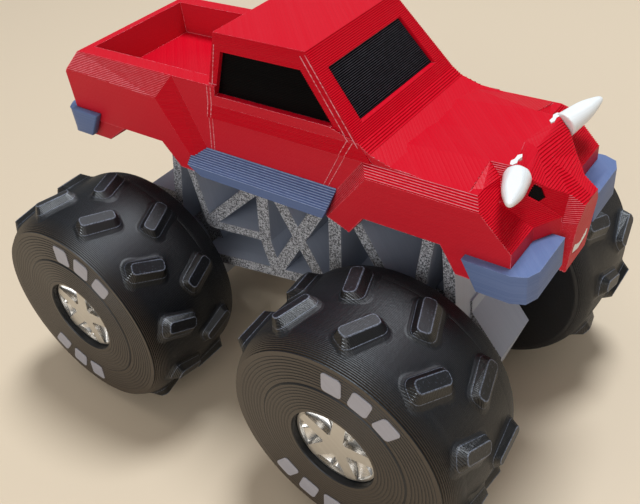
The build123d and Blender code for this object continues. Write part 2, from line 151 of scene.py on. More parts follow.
def front_point(x, y, z):
    """A point given in mm from the front axle's middle."""
    return wheel_middle("front") + Vector((x, y, z)) * MM


# Mesh helpers

def new_object(name, mesh):
    obj = bpy.data.objects.new(name, mesh)
    bpy.context.scene.collection.objects.link(obj)
    return obj


def from_points(name, points, faces):
    mesh = bpy.data.meshes.new(name)
    mesh.from_pydata(points, [], faces)
    return new_object(name, mesh)


def edited(obj, change):
    """Runs one change on the object's mesh and gives the object back."""
    bm = bmesh.new()
    bm.from_mesh(obj.data)
    change(bm)
    bm.to_mesh(obj.data)
    bm.free()
    obj.data.update()
    return obj


def merged(bm, distance=SAME_POINT):
    bmesh.ops.remove_doubles(bm, verts=bm.verts, dist=distance)


def outward(bm):
    merged(bm)
    bmesh.ops.recalc_face_normals(bm, faces=bm.faces)


def evaluated(obj):
    """The object with its modifiers used up, as a plain mesh; the old object goes."""
    name = obj.name
    graph = bpy.context.evaluated_depsgraph_get()
    mesh = bpy.data.meshes.new_from_object(obj.evaluated_get(graph))
    bpy.data.objects.remove(obj)
    return new_object(name, mesh)


def node_copy(node, name):
    """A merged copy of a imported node, with whole flat faces instead of loose triangles."""
    obj = new_object(name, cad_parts[node].data.copy())
    obj.data.materials.clear()

    def change(bm):
        merged(bm)
        bmesh.ops.dissolve_limit(bm, angle_limit=SAME_FACE, verts=bm.verts, edges=bm.edges)
    return edited(obj, change)


def sharp_edges(obj):
    """The numbers of the edges whose two faces meet sharply."""
    bm = bmesh.new()
    bm.from_mesh(obj.data)
    found = {edge.index for edge in bm.edges if len(edge.link_faces) == 2 and edge.calc_face_angle() > SHARP}
    bm.free()
    return found


def eased(obj, width, segments=2, upright=None):
    """Rounds the object's sharp edges by a width in mm; upright edges may get a width of their own."""
    widest = max(width, upright or 0)
    bevel = obj.modifiers.new("eased", "BEVEL")
    bevel.limit_method = "ANGLE"
    if upright:
        bevel.limit_method = "WEIGHT"
        sharp = sharp_edges(obj)
        weights = []
        for edge in obj.data.edges:
            a, b = (obj.data.vertices[i].co for i in edge.vertices)
            wanted = upright if abs((b - a).normalized().z) > UPRIGHT else width
            weights.append(wanted / widest if edge.index in sharp else 0.0)
        obj.data.attributes.new("bevel_weight_edge", "FLOAT", "EDGE").data.foreach_set("value", weights)
    bevel.angle_limit = SHARP
    bevel.width = widest * MM
    bevel.segments = segments
    bevel.use_clamp_overlap = True
    return evaluated(obj)


def stacked(obj, axis, start, soft=1.0, hard=1.0):
    """Turns slopes into printed layers along one axis: each layer is cut at its middle and stands upright.

    The layers stand out by the share hard, and only by the share soft at a point of a face that lies
    nearly flat. Each face keeps how flat it lay before, as its slope.
    """
    step = LAYER * MM
    nip = step * NIP
    normal = Vector([float(i == axis) for i in range(3)])

    def change(bm):
        bmesh.ops.triangulate(bm, faces=bm.faces)
        bm.normal_update()
        slope = bm.faces.layers.float.new("slope")
        for face in bm.faces:
            face[slope] = abs(face.normal[axis])
        heights = [vert.co[axis] for vert in bm.verts]
        first = floor((min(heights) - start) / step) - 1
        last = ceil((max(heights) - start) / step) + 1
        for level in range(first, last):
            for side in (-nip, nip):
                point = normal * (start + (level + 0.5) * step + side)
                bmesh.ops.bisect_plane(bm, geom=bm.verts[:] + bm.edges[:] + bm.faces[:],
                                       dist=ON_CUT, plane_co=point, plane_no=normal)
        bm.normal_update()
        snaps = []
        for vert in bm.verts:
            flattest = max((abs(face.normal[axis]) for face in vert.link_faces), default=0.0)
            flat = max(0.0, min(1.0, (flattest - SLOPING) / (FLAT - SLOPING)))
            share = hard + (soft - hard) * flat
            snapped = start + round((vert.co[axis] - start) / step) * step
            snaps.append(vert.co[axis] + share * (snapped - vert.co[axis]))
        for vert, height in zip(bm.verts, snaps):
            vert.co[axis] = height
        merged(bm, SAME_LAYER_POINT)
        bmesh.ops.dissolve_degenerate(bm, edges=bm.edges, dist=SHORTEST)
    return edited(obj, change)


def tube_faces(around, rows):
    """Faces of a closed tube through rows of points, with a cap at each end."""
    faces = [(a * around + i, a * around + (i + 1) % around, (a + 1) * around + (i + 1) % around,
              (a + 1) * around + i) for a in range(rows - 1) for i in range(around)]
    return faces + [tuple(range(around))[::-1], tuple(range((rows - 1) * around, rows * around))]


def lofted(name, rings, kinds=None):
    """A closed solid through rings of as many points, from its first ring to its last.

    kinds gives each band between two rings, and then the last cap, a number that its faces keep.
    """
    around = len(rings[0])
    obj = from_points(name, [point for ring in rings for point in ring], tube_faces(around, len(rings)))
    if kinds:
        values = [kind for kind in kinds[:-1] for _ in range(around)] + [PLAIN, kinds[-1]]
        obj.data.attributes.new("kind", "FLOAT", "FACE").data.foreach_set("value", values)
    return edited(obj, outward)


def rounded_outline(length, width, corner, arc=4):
    """Points round a rectangle with rounded corners, along (length, width)."""
    points = []
    for u, v, start in ((1, 1, 0), (-1, 1, 90), (-1, -1, 180), (1, -1, 270)):
        for i in range(arc + 1):
            turn = radians(start + 90 * i / arc)
            points.append((u * (length / 2 - corner) + corner * cos(turn),
                           v * (width / 2 - corner) + corner * sin(turn)))
    return points


def flat_shaded(obj):
    for polygon in obj.data.polygons:
        polygon.use_smooth = False
    return obj


def smooth_shaded(obj, angle):
    """Smooth shading, with edges sharper than the angle kept crisp."""
    for polygon in obj.data.polygons:
        polygon.use_smooth = True
    obj.data.set_sharp_from_angle(angle=radians(angle))
    return obj


def painted(obj, material):
    obj.data.materials.clear()
    obj.data.materials.append(material)
    return obj


def kept(obj, body, replaces=()):
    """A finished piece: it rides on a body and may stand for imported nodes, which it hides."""
    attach(obj, body)
    if replaces:
        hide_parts(*replaces)


# Node helpers

FLOAT, VECTOR, WHOLE = "NodeSocketFloat", "NodeSocketVector", "NodeSocketInt"
OBJECT, MATERIAL, GEOMETRY = "NodeSocketObject", "NodeSocketMaterial", "NodeSocketGeometry"


def add(tree, kind, inputs=None, **settings):
    node = tree.nodes.new(kind)
    for name, value in settings.items():
        setattr(node, name, value)
    for socket, value in (inputs or {}).items():
        if isinstance(value, bpy.types.NodeSocket):
            tree.links.new(value, node.inputs[socket])
        else:
            node.inputs[socket].default_value = value
    return node


def calc(tree, operation, *values):
    return add(tree, "ShaderNodeMath", dict(enumerate(values)), operation=operation).outputs[0]


def times(tree, *values):
    """The product of two values or more."""
    product = values[0]
    for value in values[1:]:
        product = calc(tree, "MULTIPLY", product, value)
    return product


def dot(tree, a, b):
    return add(tree, "ShaderNodeVectorMath", {0: a, 1: b}, operation="DOT_PRODUCT").outputs["Value"]


def blend_value(tree, factor, a, b):
    return add(tree, "ShaderNodeMix", {0: factor, 2: a, 3: b}, data_type="FLOAT").outputs[0]


def blend_colour(tree, factor, a, b):
    return add(tree, "ShaderNodeMix", {0: factor, 6: a, 7: b}, data_type="RGBA").outputs[2]


def ranged(tree, value, low, high, to_low=0.0, to_high=1.0):
    return add(tree, "ShaderNodeMapRange", {0: value, 1: low, 2: high, 3: to_low, 4: to_high}).outputs[0]


def group(name, kind, inputs, outputs):
    """A node group with named inputs and outputs: its tree, and the sockets inside for both."""
    tree = bpy.data.node_groups.new(name, kind)
    for label, socket_type, value in inputs:
        socket = tree.interface.new_socket(label, in_out="INPUT", socket_type=socket_type)
        if value is not None:
            socket.default_value = value
    for label, socket_type in outputs:
        tree.interface.new_socket(label, in_out="OUTPUT", socket_type=socket_type)
    return tree, tree.nodes.new("NodeGroupInput").outputs, tree.nodes.new("NodeGroupOutput").inputs


# Materials

LINE_POWER = 3.0            # how flat the top of a printed line is
LINE_SHARE, PATCH_SHARE = 0.7, 0.3          # how much of the tone comes from lines and from patches
EDGE_WIDTH = 0.1            # mm, width of the highlight painted along a sharp edge
NOSE = (0.4, 0.7)           # share of a layer, up to the nose of its step, over which the painted highlight comes in
KIND_REACH = 0.2            # how near to a kind's number a face's own number is
OUTER_SHARE = 0.75          # share of the way out to a tyre's face, where its outer sidewall begins
FLANK_ROUGHNESS, SIDEWALL_ROUGHNESS = 0.34, 0.42
HOLLOW_ROUGHNESS, STAR_ROUGHNESS = 0.27, 0.4
GRIT_HEIGHT = 0.02          # mm, how far the chassis's speckles stand out

# Ranges over which a look comes in, as shares of a direction in a normal
TOP_FACE = (0.9, 0.99)
WALL_SLOPE, LEVEL_SLOPE = (0.06, 0.03), (0.99, 0.995)
STEPPED_SLOPE, FLAT_SLOPE = (0.3, 0.5), (FLAT, SLOPING)
# Upright risers, and how far they face the lit side, for the highlight painted on steps
RISER, LIT = (0.6, 0.3), (0.5, 0.85)
EDGE_TURN = (0.98, 0.86)


def rounded_lines(tree, along, width):
    """Printed lines of a width, round on top with narrow valleys between: their height and their number."""
    turns = calc(tree, "DIVIDE", along, width)
    part = calc(tree, "FRACT", turns)
    away = calc(tree, "ABSOLUTE", calc(tree, "MULTIPLY_ADD", part, 2.0, -1.0))
    return calc(tree, "SUBTRACT", 1.0, calc(tree, "POWER", away, LINE_POWER)), calc(tree, "FLOOR", turns)


def build_print_lines():
    """Printed layers on walls, the slanting lines of a flat top, and a tone that changes line by line.

    Glint is 1 on the noses of the steps that real layers leave on a slope, on risers that face the lit
    side: it masks a highlight painted into the colour. Whole is 1 where there are no steps.
    """
    tree, given, out = group("print lines", "ShaderNodeTree", [
        ("Up", VECTOR, (0, 0, 1)), ("Layer", FLOAT, LAYER * MM), ("Top line", VECTOR, (SLANT, SLANT, 0)),
        ("Bead", FLOAT, BEAD * MM), ("Waver", FLOAT, 0.08), ("Top depth", FLOAT, 1.0),
        ("Start", FLOAT, 0.0), ("Lit side", VECTOR, (0, 1, 0)),
    ], [("Height", FLOAT), ("Tone", FLOAT), ("Top", FLOAT), ("Glint", FLOAT), ("Whole", FLOAT)])
    place = add(tree, "ShaderNodeTexCoord").outputs
    waver = add(tree, "ShaderNodeTexNoise", {"Vector": place["Object"], "Scale": 260.0, "Detail": 1.0})
    sway = calc(tree, "SUBTRACT", waver.outputs["Fac"], 0.5)
    shift = times(tree, sway, times(tree, given["Waver"], given["Layer"]))
    level = calc(tree, "SUBTRACT", dot(tree, place["Object"], given["Up"]), given["Start"])
    walls, wall_number = rounded_lines(tree, calc(tree, "ADD", level, shift), given["Layer"])
    tops, top_number = rounded_lines(tree, dot(tree, place["Object"], given["Top line"]), given["Bead"])
    facing = calc(tree, "ABSOLUTE", dot(tree, place["Normal"], given["Up"]))
    top = ranged(tree, facing, *TOP_FACE)
    number = blend_value(tree, calc(tree, "GREATER_THAN", top, 0.5), wall_number, top_number)
    tone = add(tree, "ShaderNodeTexWhiteNoise", {"W": number}, noise_dimensions="1D").outputs["Value"]

    slope = add(tree, "ShaderNodeAttribute", attribute_name="slope").outputs["Fac"]
    whole = calc(tree, "MAXIMUM", ranged(tree, slope, *WALL_SLOPE), ranged(tree, slope, *LEVEL_SLOPE))
    stepped = times(tree, ranged(tree, slope, *STEPPED_SLOPE), ranged(tree, slope, *FLAT_SLOPE))
    nose = ranged(tree, calc(tree, "FRACT", calc(tree, "DIVIDE", level, given["Layer"])), *NOSE)
    lit = calc(tree, "ABSOLUTE", dot(tree, place["Normal"], given["Lit side"]))
    riser = times(tree, ranged(tree, facing, *RISER), ranged(tree, lit, *LIT))
    dots = add(tree, "ShaderNodeTexNoise", {"Vector": place["Object"], "Scale": 1500.0, "Detail": 2.0})
    dotted = ranged(tree, dots.outputs["Fac"], 0.35, 0.65, 0.6, 1.0)

    results = {"Height": blend_value(tree, top, walls, times(tree, tops, given["Top depth"])), "Tone": tone,
               "Top": top, "Glint": times(tree, times(tree, stepped, nose), times(tree, riser, dotted)),
               "Whole": whole}
    for label, value in results.items():
        tree.links.new(value, out[label])
    return tree


def build_mottle():
    """Soft patches and fine grain, each from 0 to 1 about a middle of a half."""
    tree, given, out = group("mottle", "ShaderNodeTree", [("Patch", FLOAT, 90.0), ("Grain", FLOAT, 2600.0)],
                             [("Patches", FLOAT), ("Grains", FLOAT)])
    place = add(tree, "ShaderNodeTexCoord").outputs["Object"]
    patches = add(tree, "ShaderNodeTexNoise", {"Vector": place, "Scale": given["Patch"], "Detail": 3.0})
    grains = add(tree, "ShaderNodeTexNoise", {"Vector": place, "Scale": given["Grain"], "Detail": 2.0})
    tree.links.new(ranged(tree, patches.outputs["Fac"], 0.3, 0.7), out["Patches"])
    tree.links.new(ranged(tree, grains.outputs["Fac"], 0.32, 0.68), out["Grains"])
    return tree


PRINT_LINES = build_print_lines()
MOTTLE = build_mottle()

# How a piece is printed that lies on its side
ACROSS = dict(up=(0, 1, 0), top_line=(SLANT, 0, SLANT), start=outer_face)


def linear(red, green, blue):
    """A colour given as 0 to 255, as Blender's sockets want it."""
    levels = [c / 255 for c in (red, green, blue)]
    return tuple(c / 12.92 if c <= 0.04045 else ((c + 0.055) / 1.055) ** 2.4 for c in levels) + (1.0,)


def use(tree, grouped, **values):
    node = tree.nodes.new("ShaderNodeGroup")
    node.node_tree = grouped
    for name, value in values.items():
        node.inputs[name.replace("_", " ")].default_value = value
    return node.outputs


def side_faces(tree):
    """1 on the flat sides of a piece that was printed lying on its side."""
    return use(tree, PRINT_LINES, Up=ACROSS["up"], Top_line=ACROSS["top_line"])["Top"]


def edge_mask(tree, width):
    """1 on the object's own sharp edges, within a width in mm, and 0 away from them."""
    rounded = add(tree, "ShaderNodeBevel", {"Radius": width * MM}, samples=4).outputs["Normal"]
    flat = add(tree, "ShaderNodeNewGeometry").outputs["Normal"]
    return ranged(tree, dot(tree, rounded, flat), *EDGE_TURN)


def plastic(name, colour, pale_tone_and_highlight, up=(0, 0, 1), top_line=(SLANT, SLANT, 0), start=0.0, roughness=0.4,
            rough_spread=0.12, depth=0.03, top_depth=1.0, tone=0.12, metallic=0.0, grain=0.15, specular=0.5,
            edge=0.35, glint=0.0, lit_side=(0, 1, 0), painted_wall_sheen=0.0):
    """A printed plastic: paler on some lines, with highlights painted on edges and step noses and a sheen
    painted on walls; patchy in gloss, with printed lines as relief.
    """
    material = bpy.data.materials.new(name)
    material.use_nodes = True
    tree = material.node_tree
    shader = tree.nodes["Principled BSDF"]
    lines = use(tree, PRINT_LINES, Up=up, Top_line=top_line, Start=start, Top_depth=top_depth,
                Lit_side=lit_side)
    mottle = use(tree, MOTTLE)
    patches = times(tree, mottle["Patches"], PATCH_SHARE)
    mixed = calc(tree, "MULTIPLY_ADD", lines["Tone"], LINE_SHARE, patches)
    base = blend_colour(tree, times(tree, mixed, tone * 2), colour, pale_tone_and_highlight)
    # Painted sheen: upright walls without steps turn a little towards the second colour
    if painted_wall_sheen:
        wall = calc(tree, "MULTIPLY_ADD", lines["Top"], -painted_wall_sheen, painted_wall_sheen)
        base = blend_colour(tree, times(tree, wall, lines["Whole"]), base, pale_tone_and_highlight)
    # Painted highlight: sharp edges turn towards the second colour in dotted grains, where there are no steps
    if edge:
        grains = times(tree, mottle["Grains"], edge * 2)
        edge_highlight = times(tree, edge_mask(tree, EDGE_WIDTH), grains, lines["Whole"])
        base = blend_colour(tree, edge_highlight, base, pale_tone_and_highlight)
    # Painted highlight: the lit noses of layer steps turn towards the second colour
    if glint:
        base = blend_colour(tree, times(tree, lines["Glint"], glint), base, pale_tone_and_highlight)
    tree.links.new(base, shader.inputs["Base Color"])
    gloss = calc(tree, "MULTIPLY_ADD", mottle["Patches"], rough_spread, roughness - rough_spread / 2)
    tree.links.new(gloss, shader.inputs["Roughness"])
    shader.inputs["Metallic"].default_value = metallic
    shader.inputs["Specular IOR Level"].default_value = specular
    height = calc(tree, "ADD", lines["Height"], times(tree, mottle["Grains"], grain))
    bump = add(tree, "ShaderNodeBump", {"Height": height, "Distance": depth * MM, "Strength": 1.0})
    tree.links.new(bump.outputs["Normal"], shader.inputs["Normal"])
    return material


def shader_of(material):
    """The material's tree, its shader, and what runs into the shader's colour."""
    tree = material.node_tree
    shader = tree.nodes["Principled BSDF"]
    return tree, shader, shader.inputs["Base Color"].links[0].from_socket


def tyre_print():
    """Black plastic whose outer sidewalls are tinted brown, a painted reflection of the warm floor; lugs have
    paler grainy lips, a painted highlight, and smooth flanks and dull tops.
    """
    material = plastic("black tyre print", linear(3, 5, 9), linear(20, 26, 36), roughness=0.46, tone=0.14,
                       depth=0.013, top_depth=0.3, edge=0.2, grain=1.0, specular=0.6, **ACROSS)
    tree, shader, base = shader_of(material)
    kind = add(tree, "ShaderNodeAttribute", attribute_name="kind").outputs["Fac"]
    lip, flank, top = (calc(tree, "COMPARE", kind, number, KIND_REACH) for number in (LIP, FLANK, TOP))
    sidewall = side_faces(tree)
    place = add(tree, "ShaderNodeTexCoord").outputs["Object"]
    across = add(tree, "ShaderNodeSeparateXYZ", {"Vector": place}).outputs["Y"]
    outer = calc(tree, "GREATER_THAN", calc(tree, "ABSOLUTE", across), abs(outer_face) * OUTER_SHARE)
    # Painted reflection: the outer sidewall turns brown, standing for the warm floor it mirrors
    base = blend_colour(tree, times(tree, sidewall, outer), base, linear(56, 46, 36))
    grains = use(tree, MOTTLE, Grain=5200.0)["Grains"]
    # Painted highlight: the lips round each flank turn pale in grains, where their edges would catch the
    # light
    painted_lip_highlight = times(tree, lip, ranged(tree, grains, 0.2, 0.7, 0.3, 0.9))
    base = blend_colour(tree, painted_lip_highlight, base, linear(110, 116, 130))
    base = blend_colour(tree, flank, base, linear(4, 4, 5))
    specks = ranged(tree, use(tree, MOTTLE, Grain=3400.0)["Grains"], 0.8, 1.0)
    base = blend_colour(tree, times(tree, top, specks), base, linear(48, 52, 60))
    tree.links.new(base, shader.inputs["Base Color"])
    rough = blend_value(tree, flank, shader.inputs["Roughness"].links[0].from_socket, FLANK_ROUGHNESS)
    tree.links.new(blend_value(tree, sidewall, rough, SIDEWALL_ROUGHNESS), shader.inputs["Roughness"])
    return material


def speckled_print():
    """The chassis: its sides, printed last, are speckled; its walls are smooth and pale."""
    material = plastic("silver grey print", linear(162, 169, 184), linear(188, 194, 206), roughness=0.42,
                       rough_spread=0.1, depth=0.012, tone=0.1, grain=0.1, edge=0.3, specular=0.3, **ACROSS)
    tree, shader, base = shader_of(material)
    side = side_faces(tree)
    place = add(tree, "ShaderNodeTexCoord").outputs["Object"]
    dots = add(tree, "ShaderNodeTexNoise",
               {"Vector": place, "Scale": 5200.0, "Detail": 2.0, "Roughness": 0.6})
    speck = ranged(tree, dots.outputs["Fac"], 0.4, 0.62)
    speckles = blend_colour(tree, speck, linear(72, 73, 78), linear(206, 208, 214))
    tree.links.new(blend_colour(tree, side, base, speckles), shader.inputs["Base Color"])
    lines = shader.inputs["Normal"].links[0].from_socket
    grit = times(tree, speck, side)
    bump = add(tree, "ShaderNodeBump", {"Height": grit, "Distance": GRIT_HEIGHT * MM, "Normal": lines})
    tree.links.new(bump.outputs["Normal"], shader.inputs["Normal"])
    return material


def bright_print():
    """Silvery rim: the star's flat face is duller than the hollows round it."""
    material = plastic("bright rim print", linear(206, 203, 198), linear(236, 234, 230), metallic=1.0,
                       depth=0.003, edge=0.3, **ACROSS)
    tree, shader, _ = shader_of(material)
    rough = blend_value(tree, side_faces(tree), HOLLOW_ROUGHNESS, STAR_ROUGHNESS)
    tree.links.new(rough, shader.inputs["Roughness"])
    return material


# Each plastic's second colour gives its paler tone, and also its painted highlights and painted sheen
RED = plastic("red print", linear(202, 2, 30), linear(250, 168, 180), start=roof_top, roughness=0.42,
              tone=0.006, depth=0.02, specular=0.12, edge=0.7, glint=1.0, painted_wall_sheen=0.03)
BLACK_GLASS = plastic("black window print", linear(1, 1, 2), linear(98, 100, 110), start=roof_top,
                      roughness=0.36, tone=0.003, specular=0.06, edge=0.7, glint=1.0, lit_side=(1, 0, 0))
BLUE_GREY = plastic("blue grey print", linear(94, 112, 154), linear(172, 188, 222), start=roof_top,
                    roughness=0.46, depth=0.015, top_depth=0.5, tone=0.04, specular=0.2, glint=0.9)
# Paler red: a highlight painted on the raised lines round the doors and pillars
PAINTED_HIGHLIGHT_RED = plastic("pale red print", linear(206, 40, 60), linear(250, 200, 206), start=roof_top,
                   roughness=0.42, tone=0.4, depth=0.01, specular=0.2, edge=0.0)
IVORY = plastic("ivory print", linear(234, 235, 233), linear(250, 250, 249), roughness=0.32,
                depth=0.008, edge=0.0)
# Near black: painted shade standing for the dark hollow of the eyes
HOLLOW = plastic("black hollow", linear(5, 4, 4), linear(14, 12, 12), roughness=0.7, specular=0.1, edge=0.0)
SILVER = speckled_print()
RUBBER = tyre_print()
BRIGHT = bright_print()
MARK_GREY = plastic("pale mark print", linear(158, 156, 163), linear(186, 184, 192), roughness=0.5, edge=0.2,
                    depth=0.008, **ACROSS)


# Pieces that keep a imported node's shape

# Corners of the hood, in mm from the front axle's middle, and how far out they go, so that the hood meets
# the brow in one slope
HOOD_CORNERS = (((8.8, 7.01, 29.9), 3.0), ((9.8, 6.71, 29.9), 2.9))
STEP_FALL = 1.5             # mm, how far the outer top edge of a side step lies below its inner one
STEP_TOP = 0.5              # mm, how thick the slab is that holds all of a step's top corners
ROOT_CREASE = 0.9           # how crisp a tusk's root end stays
BONE_EDGE = 2.2             # mm, longer edges of a tusk are halved before it is rounded
BONE_LEVELS = 3             # how many times a tusk is rounded
TUSK_TOP = 31.4             # mm above the front axle, where a tusk is flattened
CORNER_REACH = 0.1          # mm, how near to its listed place a corner of the hood is found


def gentler_hood(bm):
    """Takes the hood's corners outwards, where it meets the brow."""
    for (x, y, z), out in HOOD_CORNERS:
        for side in (-1, 1):
            spot = front_point(x, side * y, z)
            corner = min(bm.verts, key=lambda vert: (vert.co - spot).length)
            if (corner.co - spot).length < CORNER_REACH * MM:
                corner.co.y += side * out * MM


def sloped_step(bm):
    """Lowers the top of a side step towards its outer edge."""
    top = max(vert.co.z for vert in bm.verts)
    inner = min(abs(vert.co.y) for vert in bm.verts)
    outer = max(abs(vert.co.y) for vert in bm.verts)
    for vert in bm.verts:
        if vert.co.z > top - STEP_TOP * MM:
            vert.co.z -= STEP_FALL * MM * (abs(vert.co.y) - inner) / (outer - inner)


def carried(node, name, material, ease=0.12, stack=None, upright=None, smooth=0, change=None):
    """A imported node's own shape, with eased edges and, where its slopes show them, real printed layers."""
    obj = node_copy(node, name)
    if change:
        edited(obj, change)
    obj = eased(obj, ease, 3 if upright else 2, upright)
    if stack is not None:
        stacked(obj, 2, stack, soft=0.0)
    obj = smooth_shaded(obj, smooth) if smooth else flat_shaded(obj)
    kept(painted(obj, material), "truck", [node])


def rounded_bone(node, name):
    """A tusk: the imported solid, rounded all over and flattened on top."""
    obj = node_copy(node, name)

    def change(bm):
        crease = bm.edges.layers.float.new("crease_edge")
        for edge in max(bm.faces, key=lambda face: face.calc_area()).edges:
            edge[crease] = ROOT_CREASE
        long = [edge for edge in bm.edges if edge.calc_length() > BONE_EDGE * MM]
        bmesh.ops.subdivide_edges(bm, edges=long, cuts=1, use_grid_fill=True)
    edited(obj, change)
    smooth = obj.modifiers.new("rounded", "SUBSURF")
    smooth.levels = smooth.render_levels = BONE_LEVELS
    obj = evaluated(obj)
    top = front_point(0, 0, TUSK_TOP).z
    for vert in obj.data.vertices:
        vert.co.z = min(vert.co.z, top)
    kept(painted(smooth_shaded(obj, angle=60), IVORY), "truck", [node])


carried("body_shell", "printed_body", RED, stack=roof_top, change=gentler_hood)
carried("windscreen", "windscreen_panel", BLACK_GLASS, stack=roof_top)
for node in ("rear_window", "side_window_right", "side_window_left"):
    carried(node, node + "_panel", BLACK_GLASS)
for node in ("side_step_right", "side_step_left"):
    carried(node, node + "_rail", BLUE_GREY, stack=roof_top, change=sloped_step)
for node in ("front_bumper_right", "front_bumper_left", "rear_bumper"):
    carried(node, node + "_rail", BLUE_GREY, ease=0.25, upright=1.3, smooth=40)
# The eye beads are near black, painted shade for the hollow eyes
for node in ("eye_right", "eye_left"):
    carried(node, node + "_bead", HOLLOW, ease=0.1)
for node in ("tusk_right", "tusk_left"):
    rounded_bone(node, node + "_bone")
carried("teeth", "teeth_bone", IVORY, ease=0.1)
carried("chassis", "printed_chassis", SILVER, ease=0.1)
for node in ("axle_front", "axle_rear"):
    carried(node, node + "_rod", SILVER)


# Fine pieces laid on the body

# Raised lines round the doors and up the windscreen's pillars, paler red as a painted highlight. Each runs
# from point to point, in mm forward of and above the front axle's middle
DOOR_LINES = {
    "door_rear": ((-26.15, 39.6), (-26.95, 34.3), (-28.55, 24.6)),
    "door_behind": ((-26.75, 39.6), (-27.55, 34.3), (-29.1, 24.6)),
    "door_front": ((-6.4, 32.2), (-10.95, 24.3)),
    "door_ahead": ((-5.7, 32.0), (-10.3, 24.3)),
    "pillar_outer": ((-12.3, 40.7), (-5.0, 31.5)),
    "pillar_inner": ((-13.0, 40.5), (-6.35, 32.0)),
}
LINE_STEP, LINE_HALF, LINE_RISE = 0.2, 0.07, 0.06       # mm
OUTSIDE = 40                # mm from the middle, beyond the truck's side
WALL_DEPTH = 9.2            # mm from the middle: no outer wall lies deeper

# Small pale slivers lying on the brow, in mm from the front axle's middle
SLIVER = ((10.9, 0.05), (11.2, 0.0), (11.45, 0.62), (11.3, 1.15), (11.42, 1.95), (11.2, 2.45), (10.85, 2.05),
          (10.9, 1.25), (10.7, 0.7))
SLIVER_LEVELS = (30.5, 31.06)


def wall_line(name, side, corners, wall):
    """A fine raised line along the body's side, laid on the wall wherever that runs."""
    rings = []
    for (x0, z0), (x1, z1) in zip(corners, corners[1:]):
        length = hypot(x1 - x0, z1 - z0)
        count = int(length / LINE_STEP)
        across = Vector((z0 - z1, 0, x1 - x0)) / length * LINE_HALF * MM
        for i in range(count + 1):
            x, z = x0 + (x1 - x0) * i / count, z0 + (z1 - z0) * i / count
            hit, normal, *_ = wall.ray_cast(front_point(x, side * OUTSIDE, z), Vector((0, -side, 0)))
            if hit is None or abs(hit.y) < WALL_DEPTH * MM:
                continue
            rise = normal * LINE_RISE * MM
            rings.append([hit - across - rise, hit + across - rise,
                          hit + across / 2 + rise, hit - across / 2 + rise])
    kept(painted(flat_shaded(lofted(name, rings)), PAINTED_HIGHLIGHT_RED), "truck")


def wall_lines():
    """The raised lines on both sides of the body."""
    body = node_copy("body_shell", "wall_probe")
    wall = BVHTree.FromPolygons([vert.co.copy() for vert in body.data.vertices],
                                [face.vertices[:] for face in body.data.polygons])
    bpy.data.objects.remove(body)
    for side_name, side in SIDES:
        for line_name, corners in DOOR_LINES.items():
            wall_line(line_name + "_line_" + side_name, side, corners, wall)


def brow_sliver(name, side, reach):
    """A thin sliver that lies on the brow, at a reach in mm from the truck's middle."""
    rings = [[front_point(x, side * (reach - y), z) for x, y in SLIVER] for z in SLIVER_LEVELS]
    kept(painted(flat_shaded(lofted(name, rings)), IVORY), "truck")


# Geometry Nodes for what turns about an axle

def build_turned_profile():
    """A closed profile, given as a row of points (radius, depth), turned about Y."""
    tree, given, out = group("turned profile", "GeometryNodeTree", [
        ("Geometry", GEOMETRY, None), ("Profile", OBJECT, None), ("Points", WHOLE, 8), ("Around", WHOLE, 96),
        ("Material", MATERIAL, None)], [("Geometry", GEOMETRY)])
    grid = add(tree, "GeometryNodeMeshGrid", {"Vertices X": given["Points"]})
    rows = calc(tree, "ADD", given["Around"], 1.0)
    tree.links.new(rows, grid.inputs["Vertices Y"])
    index = add(tree, "GeometryNodeInputIndex").outputs[0]
    row = calc(tree, "FLOOR", calc(tree, "DIVIDE", calc(tree, "ADD", index, 0.5), rows))
    column = calc(tree, "SUBTRACT", index, times(tree, row, rows))
    turn = times(tree, calc(tree, "DIVIDE", column, given["Around"]), 2 * pi)
    profile = add(tree, "GeometryNodeObjectInfo", {"Object": given["Profile"]}).outputs["Geometry"]
    place = add(tree, "GeometryNodeInputPosition").outputs[0]
    sample = add(tree, "GeometryNodeSampleIndex", {"Geometry": profile, "Value": place, "Index": row},
                 data_type="FLOAT_VECTOR", domain="POINT")
    at = add(tree, "ShaderNodeSeparateXYZ", {0: sample.outputs[0]}).outputs
    turned = add(tree, "ShaderNodeCombineXYZ", {
        0: times(tree, at["X"], calc(tree, "COSINE", turn)), 1: at["Y"],
        2: times(tree, at["X"], calc(tree, "SINE", turn))}).outputs[0]
    moved = add(tree, "GeometryNodeSetPosition", {"Geometry": grid.outputs["Mesh"], "Position": turned})
    closed = add(tree, "GeometryNodeMergeByDistance",
                 {"Geometry": moved.outputs[0], "Distance": SAME_LAYER_POINT})
    made = add(tree, "GeometryNodeSetMaterial",
               {"Geometry": closed.outputs[0], "Material": given["Material"]})
    tree.links.new(made.outputs[0], out["Geometry"])
    return tree


